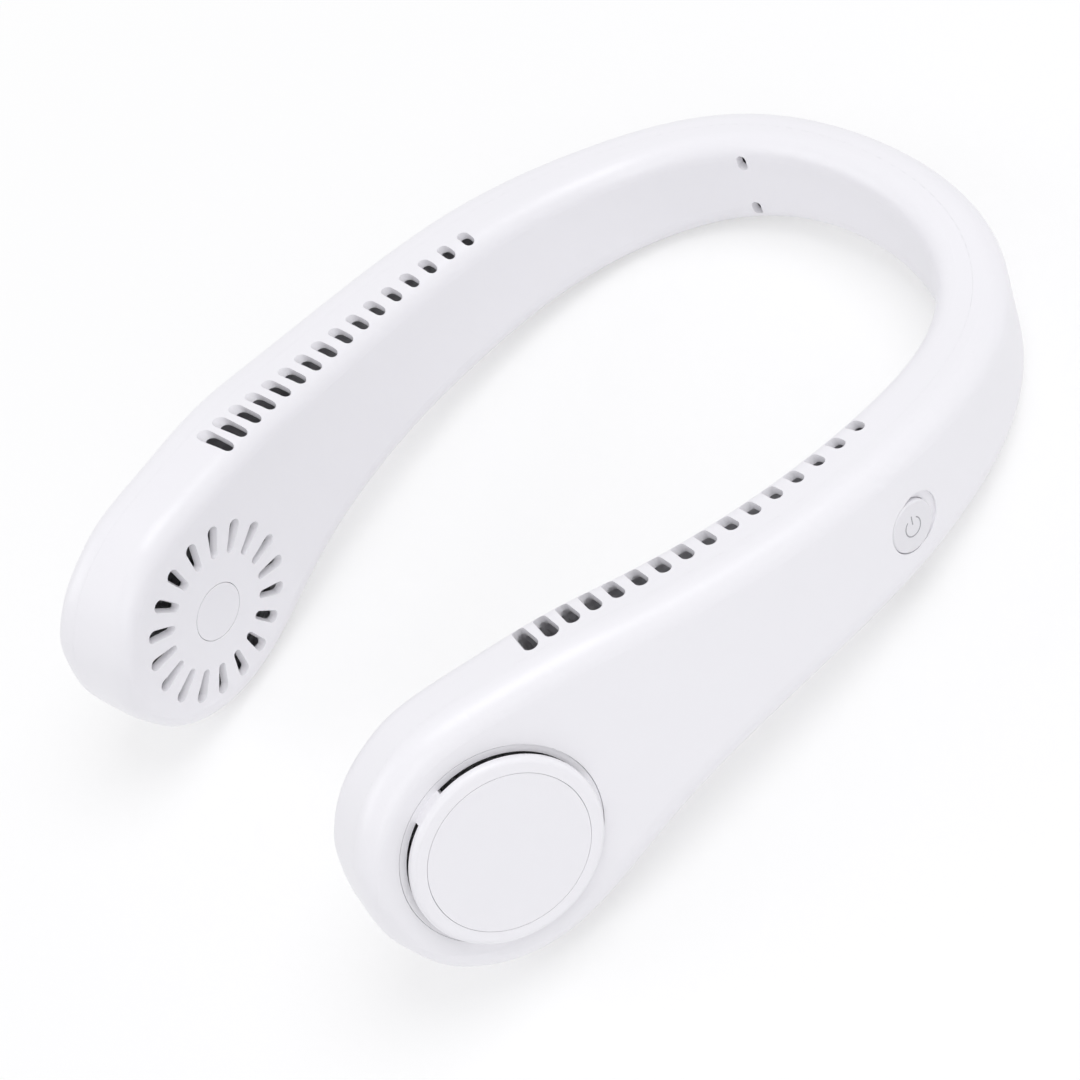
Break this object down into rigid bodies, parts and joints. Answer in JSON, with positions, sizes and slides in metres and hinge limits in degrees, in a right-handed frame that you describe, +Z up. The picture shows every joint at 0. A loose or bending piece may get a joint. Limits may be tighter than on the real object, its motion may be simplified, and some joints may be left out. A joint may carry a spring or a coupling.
{
  "type": "bladeless neck fan",
  "caption": "U-shaped bladeless neck fan: a motor wheel in each round head draws air in at the sides and blows it out of slots along the arms; push button and charging socket at the back.",
  "frame": {"origin": "under the middle of the bounding box, on the surface the fan lies on", "axes": "+X towards the arm that carries the power button, +Y from the heads to the back of the neck, +Z up"},
  "size_m": [0.1675, 0.2244, 0.0667],
  "materials": {
    "casing": "moulded, glossy white",
    "cover": "moulded, glossy white",
    "plate": "moulded, satin white",
    "cap": "moulded, satin white",
    "button": "moulded, satin white",
    "mount": "die-cast",
    "fastener": "zinc plated",
    "circuit": "solder mask",
    "bush": "sintered",
    "lamination": "stacked sheet",
    "winding": "enamelled copper",
    "yoke": "drawn",
    "magnet": "bonded ferrite",
    "shaft": "ground",
    "wheel": "moulded, light grey",
    "switch": "moulded",
    "plunger": "moulded",
    "socket": "nickel plated",
    "cell": "pouch foil",
    "pad": "closed-cell foam",
    "divider": "moulded"
  },
  "bodies": {
    "casing": {"inner_shell": "casing", "outer_shell": "casing", "left_intake_cover": "cover", "left_cover_plate": "plate", "right_intake_cover": "cover", "right_cover_plate": "plate", "left_center_cap": "cap", "left_motor_mount": "mount", "left_motor_screws": "fastener", "left_motor_board": "circuit", "left_bearing_bush": "bush", "left_stator_core": "lamination", "left_stator_coils": "winding", "right_center_cap": "cap", "right_motor_mount": "mount", "right_motor_screws": "fastener", "right_motor_board": "circuit", "right_bearing_bush": "bush", "right_stator_core": "lamination", "right_stator_coils": "winding", "main_board": "circuit", "board_screws": "fastener", "tact_switch": "switch", "usb_socket": "socket", "left_battery_cell": "cell", "left_battery_pad": "pad", "left_duct_divider": "divider", "right_battery_cell": "cell", "right_battery_pad": "pad", "right_duct_divider": "divider"},
    "left_fan": {"left_impeller": "wheel", "left_rotor_yoke": "yoke", "left_rotor_magnet": "magnet", "left_rotor_shaft": "shaft"},
    "right_fan": {"right_impeller": "wheel", "right_rotor_yoke": "yoke", "right_rotor_magnet": "magnet", "right_rotor_shaft": "shaft"},
    "power_button": {"power_button": "button", "switch_plunger": "plunger"}
  },
  "joints": [
    {"name": "left_fan_spin", "type": "hinge", "parent": "casing", "child": "left_fan", "pos_m": [-0.04538, -0.07835, 0.03147], "axis": [-0.9745, -0.1965, 0.108], "continuous": true},
    {"name": "right_fan_spin", "type": "hinge", "parent": "casing", "child": "right_fan", "pos_m": [0.04538, -0.07835, 0.03147], "axis": [0.9745, -0.1965, 0.108], "continuous": true},
    {"name": "power_button_press", "type": "slide", "parent": "casing", "child": "power_button", "axis": [-0.9957, -0.0241, -0.0893], "range_m": [0, 0.0005], "stiffness_N_per_m": 4000}
  ]
}
